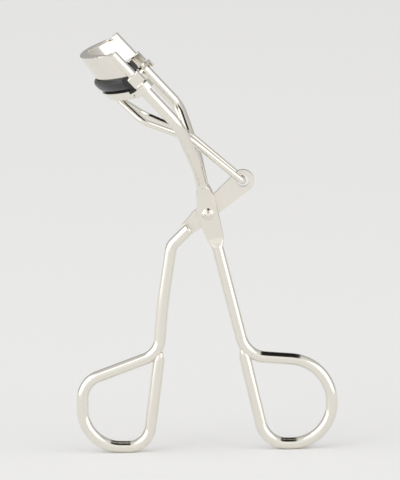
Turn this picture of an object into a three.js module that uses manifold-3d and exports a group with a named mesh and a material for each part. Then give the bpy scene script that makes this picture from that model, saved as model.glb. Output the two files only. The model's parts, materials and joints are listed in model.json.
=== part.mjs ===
// Eyelash curler with wire finger loops: a rigid frame, a squeezed lever, a wire yoke and a sliding
// lower jaw with a rubber pad. Millimetres and degrees, +Z up, front towards -Y.
//
// The mechanism is drawn about the rivet. Head coordinates are (y, n, s): y across the jaws, s along the
// guide rods towards the fixed jaw, n square to both, from the guide rods towards the jaws' apex.
import * as THREE from "three";
import { mergeVertices } from "three/addons/utils/BufferGeometryUtils.js";
import Module from "manifold-3d";

const wasm = await Module();
wasm.setup();

// ---- driving dimensions ----
const HANDLE_WIRE = 2.9; // diameter of the handle and guide rod wire
const YOKE_WIRE = 1.6; // diameter of the yoke wire
const RUNNING_GAP = 0.3; // between parts that slide or turn on each other
const FIT_GAP = 0.1; // round a pin or a tenon that doesn't move in its seat
const BRAZE_GAP = 0.05; // between faces that are brazed or clamped together

const GUIDE_LEAN = 43; // of the guide rods from vertical, towards -X
const GUIDE_SPAN = 29; // between the guide rods' centres
const ROD_OFFSET = 11.1; // from the rivet to the guide rods' line
const CRANK = 11.7; // from the rivet to the yoke's hole

const ROD_SHOULDER = 39.1; // along s: where a guide rod steps down to its tenon
const TENON_LENGTH = 6.1;
const TENON_DIAMETER = 1.5;
const ROD_BEND = 22.5; // along s: where the guide rods turn in towards the blades
const ROD_FLAT_WIDTH = 3.5; // of the rod's end, pressed flat below the shoulder as a stop for the lower jaw
const ROD_FLAT_DEPTH = 2.3;
const ROD_FLAT_LENGTH = 2.9; // down from the shoulder

const BLADE_THICKNESS = 1.2;
const LEVER_THICKNESS = 1.5;
const RIVET_SHANK = 1.9; // diameter
const RIVET_HEAD = 2.9; // diameter
const RIVET_DOME = 0.65; // height of the front head

const YOKE_HOLE = 2.9; // diameter, in the lever
const YOKE_NARROW = 4.0; // between the yoke arms' centres at the lever
const YOKE_WIDE = 11.6; // at their widest

const JAW_DEPTH = 8.0; // from the guide rods' line to the fixed jaw's middle surface at the apex, along n
const JAW_TILT = 25.4; // of the jaws' rims from square to the guide rods
const SHEET = 0.6; // thickness of both jaws' sheet metal
const UPPER_JAW_HEIGHT = 6.9; // along s
const UPPER_JAW_RIM = 2.0; // width of the rim turned in along its top
const CURL_ANGLE = 165; // how far each end is curled round its tenon

const EAR_RADIUS = 2.6;
const EAR_SKIRT = 1.8; // height of the skirt turned down round an ear's end
const EAR_STEP = 3.25; // from the holder's underside, carried on to the guide rods' line, to the ears' top
const HOLDER_WIDTH = 3.6;
const HOLDER_HEIGHT = 2.3;
const HOLDER_INSET = 0.25; // of its middle from the fixed jaw's edge, along n
const HOLDER_HALF_SPAN = 11.5; // across, to the holder's ends
const PAD_WIDTH = 3.7;
const PAD_TOP = 6.2; // above the holder's underside
const PAD_HALF_SPAN = 11.9; // across, to the pad's ends

// ---- places worked out from them ----
const rad = THREE.MathUtils.degToRad;
const wireRadius = HANDLE_WIRE / 2;
const yokeRadius = YOKE_WIRE / 2;
const bladeInner = LEVER_THICKNESS / 2 + RUNNING_GAP;
const bladeMiddle = bladeInner + BLADE_THICKNESS / 2;
const bladeOuter = bladeInner + BLADE_THICKNESS;
const halfSpan = GUIDE_SPAN / 2;
const earTop = ROD_SHOULDER - ROD_FLAT_LENGTH - RUNNING_GAP; // along s: the ears stop short of the flats
const holderLevel = earTop - EAR_STEP;
const tilt = rad(JAW_TILT);
const rise = Math.tan(tilt); // of the rims along s, per millimetre along n

const alongRods = new THREE.Vector3(-Math.sin(rad(GUIDE_LEAN)), 0, Math.cos(rad(GUIDE_LEAN)));
const towardsApex = new THREE.Vector3(-Math.cos(rad(GUIDE_LEAN)), 0, -Math.sin(rad(GUIDE_LEAN)));
const across = new THREE.Vector3(0, 1, 0);
// Head coordinates have their origin on the guide rods' line, level with the rivet.
const headToWorld = new THREE.Matrix4()
  .makeBasis(across, towardsApex, alongRods)
  .setPosition(towardsApex.clone().multiplyScalar(-ROD_OFFSET));
// Outlines in the plane of the handles: their x is X, their y is Z, and they thicken towards the front.
const sidePlane = new THREE.Matrix4().makeBasis(
  new THREE.Vector3(1, 0, 0),
  new THREE.Vector3(0, 0, 1),
  new THREE.Vector3(0, -1, 0),
);

const nickel = { color: 0xd9d2c5, metalness: 1, roughness: 0.16 };
const rubber = { color: 0x202022, metalness: 0, roughness: 0.7 };

// ---- solids ----
function solid(geometry, matrix = new THREE.Matrix4()) {
  const g = geometry.clone().applyMatrix4(matrix);
  g.deleteAttribute("normal");
  g.deleteAttribute("uv");
  const merged = mergeVertices(g, 1e-4);
  return new wasm.Manifold(
    new wasm.Mesh({
      numProp: 3,
      vertProperties: new Float32Array(merged.attributes.position.array),
      triVerts: new Uint32Array(merged.index.array),
    }),
  );
}

function join(...solids) {
  return solids.reduce((a, b) => a.add(b));
}

function namedMesh(name, made, look) {
  const { vertProperties, triVerts } = made.getMesh();
  const geometry = new THREE.BufferGeometry()
    .setAttribute("position", new THREE.BufferAttribute(vertProperties, 3))
    .setIndex(new THREE.BufferAttribute(triVerts, 1));
  geometry.computeVertexNormals();
  const mesh = new THREE.Mesh(geometry, new THREE.MeshStandardMaterial(look));
  mesh.name = name;
  return mesh;
}

// A bent wire's centreline: straight runs between corners, each corner rounded to its bend radius.
class BentWire extends THREE.Curve {
  constructor(corners, degreesPerStep = 12) {
    super();
    this.stations = [corners[0].at];
    for (let i = 1; i < corners.length - 1; i++) {
      const { at, bend } = corners[i];
      const back = corners[i - 1].at.clone().sub(at).normalize();
      const ahead = corners[i + 1].at.clone().sub(at).normalize();
      const turn = Math.PI - back.angleTo(ahead);
      const centre = back
        .clone()
        .add(ahead)
        .setLength(bend / Math.cos(turn / 2))
        .add(at);
      const axis = ahead.clone().cross(back).normalize();
      const first = back.multiplyScalar(bend * Math.tan(turn / 2)).add(at).sub(centre);
      const steps = Math.max(2, Math.ceil(THREE.MathUtils.radToDeg(turn) / degreesPerStep));
      for (let k = 0; k <= steps; k++)
        this.stations.push(first.clone().applyAxisAngle(axis, (turn * k) / steps).add(centre));
    }
    this.stations.push(corners.at(-1).at);
  }
  get steps() {
    return this.stations.length - 1;
  }
  getPoint(t) {
    const place = Math.min(Math.max(t, 0), 1) * this.steps;
    const i = Math.min(Math.floor(place), this.steps - 1);
    return this.stations[i].clone().lerp(this.stations[i + 1], place - i);
  }
  getUtoTmapping(u) {
    return u;
  }
}

function wire(corners, diameter, sides = 10) {
  const path = new BentWire(corners);
  const section = new THREE.Shape().absarc(0, 0, diameter / 2, 0, 2 * Math.PI);
  return solid(
    new THREE.ExtrudeGeometry(section, { steps: path.steps, extrudePath: path, curveSegments: sides / 2 }),
  );
}

function extruded(shape, depth, curveSegments = 10) {
  return new THREE.ExtrudeGeometry(shape, { depth, bevelEnabled: false, curveSegments });
}

// A plate in the plane of the handles, from depth `back` (along Y) forwards by its thickness.
function plate(outline, thickness, back, matrix = sidePlane) {
  const at = new THREE.Matrix4().makeTranslation(0, 0, -back);
  return solid(extruded(outline, thickness, 8), matrix.clone().multiply(at));
}

function pinAcross(diameter, fromY, toY, x = 0, z = 0) {
  const disc = new THREE.Shape().absarc(x, z, diameter / 2, 0, 2 * Math.PI);
  return plate(disc, toY - fromY, toY);
}

// A band between two arcs about (0, centre), symmetrical about the second axis.
function arcBand(centre, outer, inner, halfAngle) {
  const up = Math.PI / 2;
  return new THREE.Shape()
    .absarc(0, centre, outer, up - halfAngle, up + halfAngle, false)
    .absarc(0, centre, inner, up + halfAngle, up - halfAngle, true);
}

// Two round ends and the straight sides between them.
function slotShape(x1, y1, x2, y2, radius) {
  const turn = Math.atan2(y2 - y1, x2 - x1) + Math.PI / 2;
  return new THREE.Shape()
    .absarc(x1, y1, radius, turn, turn + Math.PI, false)
    .absarc(x2, y2, radius, turn + Math.PI, turn + 2 * Math.PI, false);
}

const sideAt = (x, z, y) => new THREE.Vector3(x, y, z);
const headAt = (y, n, s) => new THREE.Vector3(y, n, s).applyMatrix4(headToWorld);

// ---- frame: one wire from guide rod through blade and shank to finger loop ----
// A guide rod on the side of the sign: its tenon, its straight run and its run in to the blade's top.
const TURN_IN = { x: -2.75, y: 5.7, z: 12.6 };
const BLADE_SHOULDER = { x: -1.55, z: 7.6 };
const BLADE_TOP = { x: -1.25, z: 6.2 };
function guideRod(side) {
  const y = side * halfSpan;
  const bladeY = side * (bladeMiddle + 0.1);
  const rod = wire(
    [
      { at: headAt(y, 0, ROD_SHOULDER) },
      { at: headAt(y, 0, ROD_BEND), bend: 7 },
      { at: sideAt(TURN_IN.x, TURN_IN.z, side * TURN_IN.y), bend: 14 },
      { at: sideAt(BLADE_SHOULDER.x, BLADE_SHOULDER.z, bladeY), bend: 3 },
      { at: sideAt(BLADE_TOP.x, BLADE_TOP.z, bladeY) },
    ],
    HANDLE_WIRE,
  );
  const tenon = new THREE.CylinderGeometry(
    TENON_DIAMETER / 2,
    TENON_DIAMETER / 2,
    TENON_LENGTH + 1,
    12,
  ).rotateX(Math.PI / 2);
  tenon.translate(y, 0, ROD_SHOULDER + (TENON_LENGTH - 1) / 2);
  // The pressed flat is flush with the rod on the apex side and stands out on the other.
  const flat = new THREE.BoxGeometry(ROD_FLAT_DEPTH, ROD_FLAT_WIDTH, ROD_FLAT_LENGTH);
  flat.translate(y, wireRadius - BRAZE_GAP - ROD_FLAT_WIDTH / 2, ROD_SHOULDER - ROD_FLAT_LENGTH / 2);
  return join(rod, solid(tenon, headToWorld), solid(flat, headToWorld));
}

// The wire flattened where the rivet goes through: its left and right edges, top to bottom.
const bladeLeft = [[-2.95, 7.2], [-2.8, 1.2], [-1.4, -3.4], [-0.3, -6.1], [1.0, -8.2]];
const bladeRight = [[3.75, -7.6], [3.9, -5.4], [2.6, 0], [1.4, 4.2], [0.45, 7.2]];
const frontBlade = new THREE.Shape().setFromPoints(
  [...bladeLeft, ...bladeRight].map(([x, z]) => new THREE.Vector2(x, z)),
);
const BACK_BLADE_END = -3.2; // below the rivet
const backBlade = new THREE.Shape().setFromPoints(
  [
    ...bladeLeft.slice(0, 2),
    [-1.9, -1.9],
    [-0.6, BACK_BLADE_END],
    [1.6, BACK_BLADE_END],
    ...bladeRight.slice(2),
  ].map(([x, z]) => new THREE.Vector2(x, z)),
);
const rivetHole = pinAcross(RIVET_SHANK + 2 * FIT_GAP, -2 * bladeOuter, 2 * bladeOuter);

const frameLoop = [
  { at: sideAt(2.1, -6.8, -bladeMiddle) },
  { at: sideAt(9.3, -35.3, -bladeMiddle), bend: 6.4 },
  { at: sideAt(30.35, -36.7, -bladeMiddle), bend: 10.7 },
  { at: sideAt(30.35, -57.1, -bladeMiddle), bend: 9.9 },
  { at: sideAt(14.2, -57.1, -bladeMiddle), bend: 6.4 },
  { at: sideAt(8.6, -33.6, -bladeMiddle) },
];
const leverWireY = -(LEVER_THICKNESS / 2 + BRAZE_GAP + wireRadius);
const leverLoop = [
  { at: sideAt(-4.7, -3.65, leverWireY) },
  { at: sideAt(-8.95, -7.9, leverWireY), bend: 3.4 },
  { at: sideAt(-10.95, -21.6, leverWireY), bend: 90 },
  { at: sideAt(-12.05, -34.7, leverWireY), bend: 5.6 },
  { at: sideAt(-30.65, -41.85, leverWireY), bend: 5.8 },
  { at: sideAt(-30.65, -57.9, leverWireY), bend: 9.3 },
  { at: sideAt(-14.7, -57.9, leverWireY), bend: 5.3 },
  { at: sideAt(-11.75, -34.4, leverWireY) },
];
// The loop's end is brazed to the bend where the loop began, so its last run is a solid of its own, a little
// thinner where the braze is dressed down.
function loopedWire(corners) {
  const lastBend = corners.at(-2).at;
  const tip = corners.at(-1).at;
  const main = wire([...corners.slice(0, -1), { at: lastBend.clone().lerp(tip, 0.5) }], HANDLE_WIRE);
  const end = wire([{ at: lastBend.clone().lerp(tip, 0.46) }, { at: tip }], HANDLE_WIRE - 2 * BRAZE_GAP);
  return join(main, end);
}

const frameHandle = join(
  guideRod(-1),
  plate(frontBlade, BLADE_THICKNESS, -bladeInner),
  loopedWire(frameLoop),
).subtract(rivetHole);
const farGuideRod = join(guideRod(1), plate(backBlade, BLADE_THICKNESS, bladeOuter)).subtract(rivetHole);

// ---- pivot rivet: shank, domed front head with a raised ring, formed back head ----
function pivotRivet() {
  const shank = RIVET_SHANK / 2;
  const head = RIVET_HEAD / 2;
  const seat = bladeOuter + BRAZE_GAP;
  const profile = [
    [0, -seat - RIVET_DOME],
    [head * 0.3, -seat - RIVET_DOME],
    [head * 0.36, -seat - RIVET_DOME - 0.12],
    [head * 0.56, -seat - RIVET_DOME - 0.08],
    [head * 0.62, -seat - RIVET_DOME * 0.86],
    [head * 0.88, -seat - RIVET_DOME * 0.55],
    [head, -seat - RIVET_DOME * 0.2],
    [head, -seat],
    [shank, -seat],
    [shank, seat],
    [head, seat],
    [head * 0.8, seat + 0.4],
    [0, seat + 0.5],
  ].map(([r, y]) => new THREE.Vector2(r, y));
  return solid(new THREE.LatheGeometry(profile, 20));
}

// ---- lever arm: stamped plate between the blades, from the handle's end to the yoke's hole ----
const yokeHole = {
  x: CRANK * Math.cos(rad(GUIDE_LEAN)),
  z: CRANK * Math.sin(rad(GUIDE_LEAN)),
};
const LEVER_END_RADIUS = 2.75; // round the yoke's hole
function leverArm() {
  const { x, z } = yokeHole;
  const along = Math.atan2(z, x) - rad(4);
  const outline = new THREE.Shape()
    .absarc(x, z, LEVER_END_RADIUS, along - rad(105), along + rad(100), false)
    .lineTo(1.45, 4.75)
    .lineTo(-2.7, 1.0)
    .lineTo(-3.9, 0)
    .lineTo(-5.8, -2.4)
    .absarc(-4.75, -3.7, 1.7, rad(128), rad(290), false)
    .lineTo(-1.2, -3.4)
    .lineTo(2.75, 0.1);
  const hole = pinAcross(YOKE_HOLE, -LEVER_THICKNESS, LEVER_THICKNESS, x, z);
  return plate(outline, LEVER_THICKNESS, LEVER_THICKNESS / 2).subtract(rivetHole).subtract(hole);
}

// ---- upper jaw: curved sheet, its ends curled half round the tenons, its top rim turned in ----
// The sheet's middle surface is an arc that touches each curl's middle circle on the inner side.
const curlMiddle = TENON_DIAMETER / 2 + FIT_GAP + SHEET / 2;
const reach = JAW_DEPTH + curlMiddle;
const arcDrop = (halfSpan ** 2 - reach ** 2) / (2 * reach); // from the rods' line down to the arc's centre
const jawRadius = JAW_DEPTH + arcDrop;
const jawHalfAngle = Math.atan2(halfSpan, arcDrop);

function curlShape(side) {
  const towardsCentre = Math.atan2(-arcDrop, -side * halfSpan);
  const sweep = side * rad(CURL_ANGLE);
  const from = towardsCentre - side * rad(8);
  const outer = curlMiddle + SHEET / 2;
  const inner = curlMiddle - SHEET / 2;
  return new THREE.Shape()
    .absarc(side * halfSpan, 0, outer, from, towardsCentre + sweep, side < 0 ? true : false)
    .absarc(side * halfSpan, 0, inner, towardsCentre + sweep, from, side < 0 ? false : true);
}

// A slab across both jaws whose outline is given as [n, s] points.
function slabAcross(points) {
  const shape = new THREE.Shape().setFromPoints(points.map(([n, s]) => new THREE.Vector2(n, s)));
  const place = headToWorld
    .clone()
    .multiply(
      new THREE.Matrix4().makeBasis(
        new THREE.Vector3(0, 1, 0),
        new THREE.Vector3(0, 0, 1),
        new THREE.Vector3(1, 0, 0),
      ),
    )
    .multiply(new THREE.Matrix4().makeTranslation(0, 0, -GUIDE_SPAN));
  return solid(extruded(shape, 2 * GUIDE_SPAN), place);
}

const jawFoot = ROD_SHOULDER + FIT_GAP; // lowest edge of the fixed jaw, on its rod shoulders
const behind = -4;
const beyond = JAW_DEPTH + 4;
function upperJaw() {
  const tall = UPPER_JAW_HEIGHT + rise * beyond + 6;
  const column = (shape, segments) =>
    solid(
      extruded(shape, tall, segments),
      headToWorld.clone().multiply(new THREE.Matrix4().makeTranslation(0, 0, ROD_SHOULDER - 3)),
    );
  const sheet = column(
    arcBand(-arcDrop, jawRadius + SHEET / 2, jawRadius - SHEET / 2, jawHalfAngle + rad(0.5)),
    14,
  );
  const walls = join(sheet, column(curlShape(-1), 8), column(curlShape(1), 8)).intersect(
    slabAcross([
      [behind, jawFoot],
      [0, jawFoot],
      [beyond, jawFoot + rise * beyond],
      [beyond, jawFoot + UPPER_JAW_HEIGHT + rise * beyond],
      [behind, jawFoot + UPPER_JAW_HEIGHT + rise * behind],
    ]),
  );
  const rimSlab = slabAcross([
    [behind, jawFoot + UPPER_JAW_HEIGHT - SHEET / Math.cos(tilt) + rise * behind],
    [beyond, jawFoot + UPPER_JAW_HEIGHT - SHEET / Math.cos(tilt) + rise * beyond],
    [beyond, jawFoot + UPPER_JAW_HEIGHT + rise * beyond],
    [behind, jawFoot + UPPER_JAW_HEIGHT + rise * behind],
  ]);
  const rim = column(
    arcBand(-arcDrop, jawRadius, jawRadius + SHEET / 2 - UPPER_JAW_RIM, jawHalfAngle - rad(12)),
    14,
  ).intersect(rimSlab);
  return join(walls, rim);
}

// ---- lower jaw: arc-shaped channel whose walls follow s, with flat ears that run on the rods ----
// Its centre line in plan lies just inside the fixed jaw's edge, at the apex and at its own ends.
const apexN = JAW_DEPTH - HOLDER_INSET;
const endN = jawRadius * Math.cos(Math.asin(HOLDER_HALF_SPAN / jawRadius)) - arcDrop - HOLDER_INSET;
const holderRadius = (HOLDER_HALF_SPAN ** 2 + (apexN - endN) ** 2) / (2 * (apexN - endN));
const holderCentre = apexN - holderRadius;
const holderHalfAngle = Math.asin(HOLDER_HALF_SPAN / holderRadius);
// Plan shapes are raised along s from a floor that slopes with the jaws' rims.
const slopedPlan = headToWorld.clone().multiply(
  new THREE.Matrix4()
    .makeBasis(new THREE.Vector3(1, 0, 0), new THREE.Vector3(0, 1, rise), new THREE.Vector3(0, 0, 1))
    .setPosition(0, 0, holderLevel),
);
// A band of the channel's plan shape, between two heights above the holder's underside.
function jawBand(width, halfAngle, from, to, segments = 12) {
  const shape = arcBand(holderCentre, holderRadius + width / 2, holderRadius - width / 2, halfAngle);
  const lift = new THREE.Matrix4().makeTranslation(0, 0, from);
  return solid(extruded(shape, to - from, segments), slopedPlan.clone().multiply(lift));
}

const grooveWidth = HOLDER_WIDTH - 2 * SHEET;
const padHalfAngle = Math.asin(PAD_HALF_SPAN / holderRadius);
// The yoke's stem goes through the holder's floor at the apex, and its swaged head lies along the groove.
const STEM_HALF_PITCH = yokeRadius - 0.02; // of the two wire ends, brazed side by side
const HEAD_THICKNESS = 0.45;
const HEAD_RIM = 0.2;
const headLevel = SHEET + 0.15; // above the holder's underside

function lowerJawHolder() {
  const channel = jawBand(HOLDER_WIDTH, holderHalfAngle, 0, HOLDER_HEIGHT);
  const groove = jawBand(grooveWidth, padHalfAngle + rad(1.5), SHEET, HOLDER_HEIGHT + 1);
  const padRoom = jawBand(PAD_WIDTH + 0.4, padHalfAngle + rad(1.5), HOLDER_HEIGHT, PAD_TOP + 2);
  const fromLevel = (level) => headToWorld.clone().multiply(new THREE.Matrix4().makeTranslation(0, 0, level));
  const ears = [-1, 1].map((side) => {
    const y = side * halfSpan;
    const tab = slotShape(y, 0, side * HOLDER_HALF_SPAN, endN - 0.7, EAR_RADIUS);
    tab.holes.push(new THREE.Path().absarc(y, 0, wireRadius + FIT_GAP + 0.05, 0, 2 * Math.PI));
    const outward = side < 0 ? Math.PI : 0;
    const skirt = new THREE.Shape()
      .absarc(y, 0, EAR_RADIUS, outward - rad(100), outward + rad(100), false)
      .absarc(y, 0, EAR_RADIUS - SHEET, outward + rad(100), outward - rad(100), true);
    return join(
      solid(extruded(tab, SHEET, 8), fromLevel(earTop - SHEET)),
      solid(extruded(skirt, EAR_SKIRT, 8), fromLevel(earTop - EAR_SKIRT)),
    );
  });
  const slot = slotShape(-STEM_HALF_PITCH, apexN, STEM_HALF_PITCH, apexN, yokeRadius + RUNNING_GAP);
  const stemSlot = solid(extruded(slot, 8, 6), fromLevel(earTop - 3));
  return join(channel, ...ears).subtract(groove).subtract(padRoom).subtract(stemSlot);
}

// ---- lash pad: rounded rubber strip with a narrower root in the groove ----
const PAD_ROOT_LEVEL = 1.45; // above the holder's underside, clear of the yoke's head
function lashPad() {
  const root = jawBand(grooveWidth - 0.2, padHalfAngle, PAD_ROOT_LEVEL, HOLDER_HEIGHT + 0.3);
  const layers = [
    [PAD_WIDTH - 0.8, HOLDER_HEIGHT + 0.05, HOLDER_HEIGHT + 0.55],
    [PAD_WIDTH, HOLDER_HEIGHT + 0.5, PAD_TOP - 0.9],
    [PAD_WIDTH - 1.2, PAD_TOP - 0.95, PAD_TOP],
  ].map(([width, from, to]) => jawBand(width, padHalfAngle, from, to));
  return join(root, ...layers);
}

// ---- yoke: one wire bent through the lever's hole, its two ends brazed together in the lower jaw ----
const YOKE_SHOULDER = { n: 6.7, s: 28 }; // where the arms are widest
const YOKE_WAIST = { y: 3.4, n: 1.5, s: 17 };
const YOKE_REST = 0.15; // along s: the wire bears towards the jaw in its hole
function yokeWire() {
  const apex = holderLevel + rise * apexN; // underside of the holder over the stem
  const stemEnd = apex + headLevel + 0.1;
  // Each half runs from the stem down one arm to just past the middle of the hole.
  const half = (side) =>
    wire(
      [
        { at: headAt(side * STEM_HALF_PITCH, apexN, stemEnd) },
        { at: headAt(side * STEM_HALF_PITCH, apexN, apex - 1.5), bend: 2.2 },
        { at: headAt((side * YOKE_WIDE) / 2, YOKE_SHOULDER.n, YOKE_SHOULDER.s), bend: 4 },
        { at: headAt(side * YOKE_WAIST.y, YOKE_WAIST.n, YOKE_WAIST.s), bend: 8 },
        { at: headAt((side * YOKE_NARROW) / 2, ROD_OFFSET - CRANK, YOKE_REST), bend: yokeRadius + 0.25 },
        { at: headAt(-side * 0.1, ROD_OFFSET - CRANK, YOKE_REST) },
      ],
      YOKE_WIRE,
      8,
    );
  const bow = join(half(-1), half(1));
  const rim = slotShape(-STEM_HALF_PITCH, apexN, STEM_HALF_PITCH, apexN, yokeRadius + HEAD_RIM);
  const head = solid(
    extruded(rim, HEAD_THICKNESS, 6),
    slopedPlan.clone().multiply(new THREE.Matrix4().makeTranslation(0, 0, headLevel)),
  );
  return join(bow, head);
}

// ---- assembly ----
const mechanism = new THREE.Group();
mechanism.add(
  namedMesh("frame_handle", frameHandle, nickel),
  namedMesh("far_guide_rod", farGuideRod, nickel),
  namedMesh("upper_jaw", upperJaw(), nickel),
  namedMesh("pivot_rivet", pivotRivet(), nickel),
  namedMesh("lever_arm", leverArm(), nickel),
  namedMesh("lever_handle", loopedWire(leverLoop), nickel),
  namedMesh("lower_jaw_holder", lowerJawHolder(), nickel),
  namedMesh("lash_pad", lashPad(), rubber),
  namedMesh("yoke_wire", yokeWire(), nickel),
);

// Stood on both finger loops: the whole curler leans until their lowest points are level.
const FRAME_LOOP_FOOT = 19.8; // X of each loop's lowest point
const LEVER_LOOP_FOOT = -20.3;
const footRise = (frameLoop[3].at.z - leverLoop[5].at.z) / (FRAME_LOOP_FOOT - LEVER_LOOP_FOOT);
mechanism.rotation.y = Math.atan(footRise);

// The origin is the middle of the base.
const box = new THREE.Box3().setFromObject(mechanism, true);
mechanism.position.set(-(box.min.x + box.max.x) / 2, -(box.min.y + box.max.y) / 2, -box.min.z);

const curler = new THREE.Group();
curler.add(mechanism);

export default curler;
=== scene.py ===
"""A wire-handled eyelash curler in polished nickel: its wires, sheet jaws, rivet and pad, and the studio.

Every piece is drawn in millimetres about the rivet, in the plane that suits it, and then placed on the
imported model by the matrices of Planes.
"""

from __future__ import annotations

import json
import logging
import math
from dataclasses import dataclass
from enum import Enum
from typing import Callable, Sequence

import bmesh
import bpy
from mathutils import Matrix, Vector

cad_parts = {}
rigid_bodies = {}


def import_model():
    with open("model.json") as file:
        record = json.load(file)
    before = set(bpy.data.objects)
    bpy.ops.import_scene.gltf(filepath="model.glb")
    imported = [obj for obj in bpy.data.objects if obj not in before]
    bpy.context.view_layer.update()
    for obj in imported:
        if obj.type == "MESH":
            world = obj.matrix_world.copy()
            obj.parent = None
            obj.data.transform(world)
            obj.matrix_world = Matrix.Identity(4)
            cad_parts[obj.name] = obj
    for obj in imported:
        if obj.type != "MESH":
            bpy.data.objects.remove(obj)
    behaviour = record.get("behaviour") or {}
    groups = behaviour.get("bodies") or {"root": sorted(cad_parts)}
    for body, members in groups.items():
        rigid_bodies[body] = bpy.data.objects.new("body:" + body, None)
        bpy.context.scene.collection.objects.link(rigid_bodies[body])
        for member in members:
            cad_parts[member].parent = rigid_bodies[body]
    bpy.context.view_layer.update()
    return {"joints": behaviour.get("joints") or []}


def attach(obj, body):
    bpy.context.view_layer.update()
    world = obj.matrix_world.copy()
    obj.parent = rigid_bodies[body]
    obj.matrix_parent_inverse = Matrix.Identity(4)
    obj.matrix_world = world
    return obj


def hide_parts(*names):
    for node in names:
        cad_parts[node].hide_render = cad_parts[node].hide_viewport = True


for startup_object in list(bpy.data.objects):
    bpy.data.objects.remove(startup_object)
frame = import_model()

log = logging.getLogger("curler")
MM = 0.001
SMOOTH = math.radians(38)


class Body(Enum):
    """The bodies that pieces ride on."""

    FRAME = "frame"
    LEVER = "lever"
    LOWER_JAW = "lower_jaw"
    YOKE = "yoke"


class Slot(Enum):
    """The record's material slots."""

    WIRE = "bent_wire"
    SHEET = "jaw_sheet"
    PLATE = "lever_plate"
    RIVET = "rivet_steel"
    RUBBER = "pad_rubber"


# ---- sizes that more than one piece shares, and the planes that pieces are drawn in ----


@dataclass(frozen=True)
class Common:
    """Sizes in millimetres that more than one piece shares."""

    handle_wire: float = 2.9
    yoke_wire: float = 1.6
    running_gap: float = 0.3
    fit_gap: float = 0.1
    guide_lean: float = 43.0  # degrees from vertical
    half_span: float = 14.5  # from the middle to a guide rod
    rod_offset: float = 11.1  # from the rivet to the guide rods' line
    crank: float = 11.7  # from the rivet to the yoke's hole
    shoulder: float = 39.1  # along the rods, where each steps down to its tenon
    tenon_length: float = 6.1
    tenon: float = 1.5
    blade_thickness: float = 1.2
    lever_thickness: float = 1.5
    rivet_shank: float = 1.9
    sheet: float = 0.6
    jaw_depth: float = 8.0
    jaw_tilt: float = 25.4  # degrees
    flat_length: float = 2.9  # of a rod's pressed end, below its shoulder
    ear_step: float = 3.25  # from the holder's underside to the ears' top

    @property
    def ear_top(self) -> float:
        """Place along the rods of the ears' top, just short of the rods' flats."""
        return self.shoulder - self.flat_length - self.running_gap

    @property
    def holder_level(self) -> float:
        """Place along the rods of the holder's underside, carried on to the rods' line."""
        return self.ear_top - self.ear_step

    @property
    def blade_inner(self) -> float:
        """Distance from the middle plane to a blade's inner face."""
        return self.lever_thickness / 2 + self.running_gap

    @property
    def blade_middle(self) -> float:
        """Distance from the middle plane to a blade's middle."""
        return self.blade_inner + self.blade_thickness / 2

    @property
    def blade_outer(self) -> float:
        """Distance from the middle plane to a blade's outer face."""
        return self.blade_inner + self.blade_thickness

    @property
    def rise(self) -> float:
        """Slope of the jaws' rims: along the rods, per millimetre towards the apex."""
        return math.tan(math.radians(self.jaw_tilt))

    @property
    def curl_middle(self) -> float:
        """Radius of the middle surface of a knuckle of the upper jaw."""
        return self.tenon / 2 + self.fit_gap + self.sheet / 2

    @property
    def arc_drop(self) -> float:
        """Distance from the rods' line back to the centre of the upper jaw's arc."""
        reach = self.jaw_depth + self.curl_middle
        return (self.half_span**2 - reach**2) / (2 * reach)

    @property
    def jaw_radius(self) -> float:
        """Radius of the upper jaw's middle surface."""
        return self.jaw_depth + self.arc_drop


@dataclass(frozen=True)
class Planes:
    """The drawing planes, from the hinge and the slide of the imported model."""

    sizes: Common
    rivet: Vector
    along: Vector  # unit vector up the guide rods

    @classmethod
    def from_joints(cls, sizes: Common, joints: Sequence[dict]) -> "Planes":
        """Reads the rivet's place and the guide rods' direction.

        Args:
            sizes: the shared sizes.
            joints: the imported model's joints.

        Returns:
            The planes of this curler.
        """
        by_name = {joint["name"]: joint for joint in joints}
        rivet = Vector(by_name["lever_hinge"]["pos_m"])
        along = Vector(by_name["jaw_slide"]["axis"]).normalized()
        return cls(sizes, rivet, along)

    @property
    def across(self) -> Vector:
        """Unit vector from the near guide rod to the far one."""
        return Vector((0, 1, 0))

    @property
    def apexward(self) -> Vector:
        """Unit vector from the guide rods to the jaws' apex."""
        return self.along.cross(self.across)

    def side(self) -> Matrix:
        """Returns the matrix from (x, y, z) about the rivet, square to the handles."""
        lean = math.radians(self.sizes.guide_lean)
        x_axis = -math.sin(lean) * self.along - math.cos(lean) * self.apexward
        z_axis = math.cos(lean) * self.along - math.sin(lean) * self.apexward
        return self._matrix(x_axis, self.across, z_axis)

    def head(self) -> Matrix:
        """Returns the matrix from (across, towards the apex, along the rods)."""
        basis = self._matrix(self.across, self.apexward, self.along)
        return basis @ Matrix.Translation((0, -self.sizes.rod_offset, 0))

    def _matrix(self, first: Vector, second: Vector, third: Vector) -> Matrix:
        """Returns the placing matrix for three axes about the rivet, in millimetres."""
        basis = Matrix((first, second, third)).transposed().to_4x4()
        return Matrix.Translation(self.rivet) @ basis @ Matrix.Scale(MM, 4)

    def head_to_side(self, y: float, n: float, s: float) -> Vector:
        """Returns the side coordinates of a point given in head coordinates."""
        lean = math.radians(self.sizes.guide_lean)
        out = n - self.sizes.rod_offset
        x = -math.sin(lean) * s - math.cos(lean) * out
        z = math.cos(lean) * s - math.sin(lean) * out
        return Vector((x, y, z))


# ---- bench work: the operators that every piece is made with ----


def clear_bench() -> None:
    """Leaves edit mode and deselects everything."""
    if bpy.context.mode != "OBJECT":
        bpy.ops.object.mode_set(mode="OBJECT")
    bpy.ops.object.select_all(action="DESELECT")


def take(piece: bpy.types.Object) -> None:
    """Makes a piece the only selected and active one."""
    clear_bench()
    piece.select_set(True)
    bpy.context.view_layer.objects.active = piece


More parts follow.
